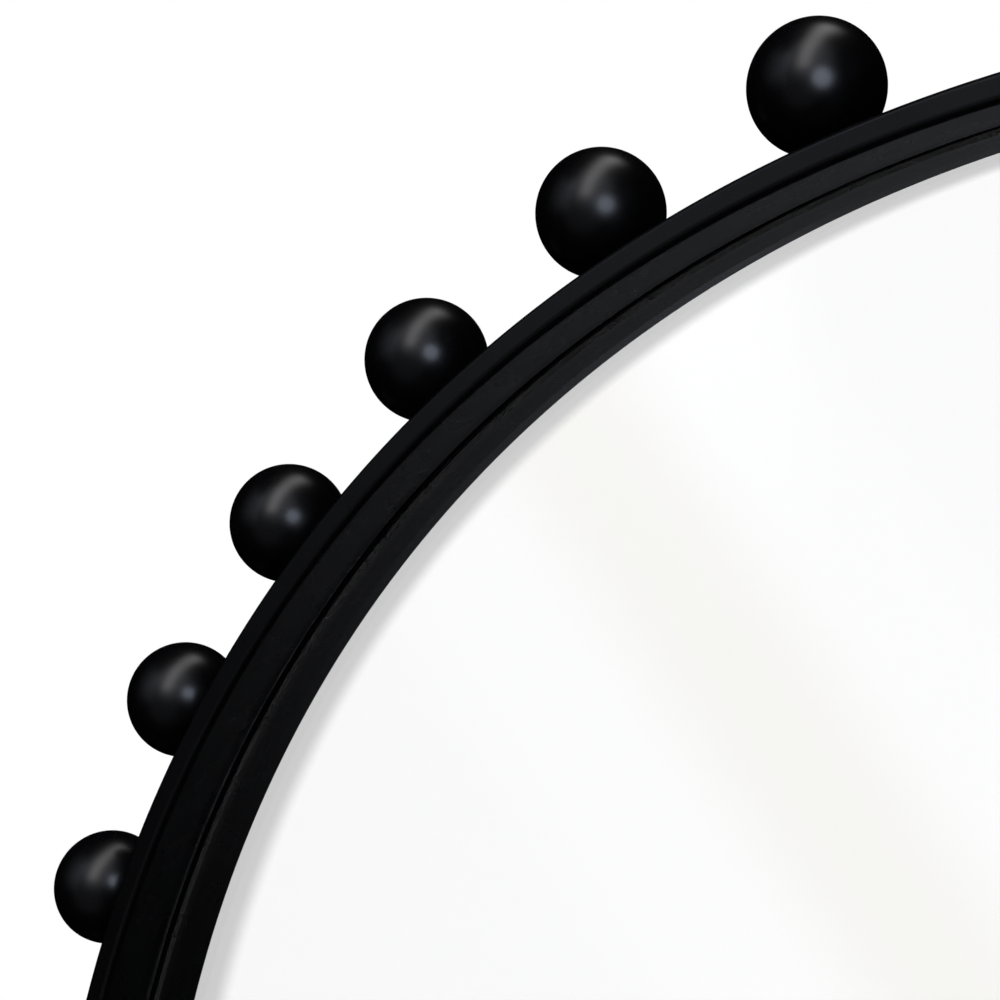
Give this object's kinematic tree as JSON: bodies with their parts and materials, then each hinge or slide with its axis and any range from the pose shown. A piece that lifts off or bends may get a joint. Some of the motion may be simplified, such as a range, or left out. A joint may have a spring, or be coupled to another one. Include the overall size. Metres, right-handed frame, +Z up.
{
  "type": "round wall mirror",
  "caption": "Round wall mirror: recessed glass in a deep satin black metal frame, with turned balls spaced evenly round its outside and two ring hangers on the back.",
  "frame": {"origin": "centre of the frame's rear edge, on the wall plane", "axes": "+Y into the wall, so the glass faces -Y; +Z up the wall; +X to the right seen from the front"},
  "size_m": [0.9138, 0.046, 0.9138],
  "materials": {
    "satin_black_steel": "satin black powder coat",
    "satin_black_wood": "turned hardwood, sprayed satin black",
    "black_foam_tape": "black foam tape",
    "black_rubber": "moulded rubber",
    "clear_glass": "clear float glass, ground arris",
    "silvering": "silvered, painted behind",
    "grey_card": "plain grey card",
    "brown_board": "plain fibreboard",
    "zinc_steel": "zinc plated",
    "nickel_steel": "nickel plated"
  },
  "bodies": {
    "mirror": {"outer_band": "satin_black_steel", "trim_ring": "satin_black_steel", "glazing_tape": "black_foam_tape", "mirror_glass": "clear_glass", "silver_coat": "silvering", "edge_blocks": "black_rubber", "backing_card": "grey_card", "back_board": "brown_board", "board_tabs": "satin_black_steel", "tab_screws": "zinc_steel", "ball_studs": "zinc_steel", "hanger_strap_left": "nickel_steel", "hanger_strap_right": "nickel_steel", "hanger_screws": "zinc_steel", "ball_01": "satin_black_wood", "ball_02": "satin_black_wood", "ball_03": "satin_black_wood", "ball_04": "satin_black_wood", "ball_05": "satin_black_wood", "ball_06": "satin_black_wood", "ball_07": "satin_black_wood", "ball_08": "satin_black_wood", "ball_09": "satin_black_wood", "ball_10": "satin_black_wood", "ball_11": "satin_black_wood", "ball_12": "satin_black_wood", "ball_13": "satin_black_wood", "ball_14": "satin_black_wood", "ball_15": "satin_black_wood", "ball_16": "satin_black_wood", "ball_17": "satin_black_wood", "ball_18": "satin_black_wood", "ball_19": "satin_black_wood", "ball_20": "satin_black_wood", "ball_21": "satin_black_wood", "ball_22": "satin_black_wood", "ball_23": "satin_black_wood", "ball_24": "satin_black_wood", "ball_25": "satin_black_wood", "ball_26": "satin_black_wood", "ball_27": "satin_black_wood", "ball_28": "satin_black_wood", "ball_29": "satin_black_wood", "ball_30": "satin_black_wood", "ball_31": "satin_black_wood", "ball_32": "satin_black_wood", "ball_33": "satin_black_wood", "ball_34": "satin_black_wood", "ball_35": "satin_black_wood", "ball_36": "satin_black_wood"},
    "left_ring": {"hanger_ring_left": "nickel_steel"},
    "right_ring": {"hanger_ring_right": "nickel_steel"}
  },
  "joints": [
    {"name": "left_ring_swing", "type": "hinge", "parent": "mirror", "child": "left_ring", "pos_m": [-0.2, -0.00455, 0.22], "axis": [1, 0, 0], "range_deg": [0, 180]},
    {"name": "right_ring_swing", "type": "hinge", "parent": "mirror", "child": "right_ring", "pos_m": [0.2, -0.00455, 0.22], "axis": [1, 0, 0], "range_deg": [0, 180]}
  ]
}
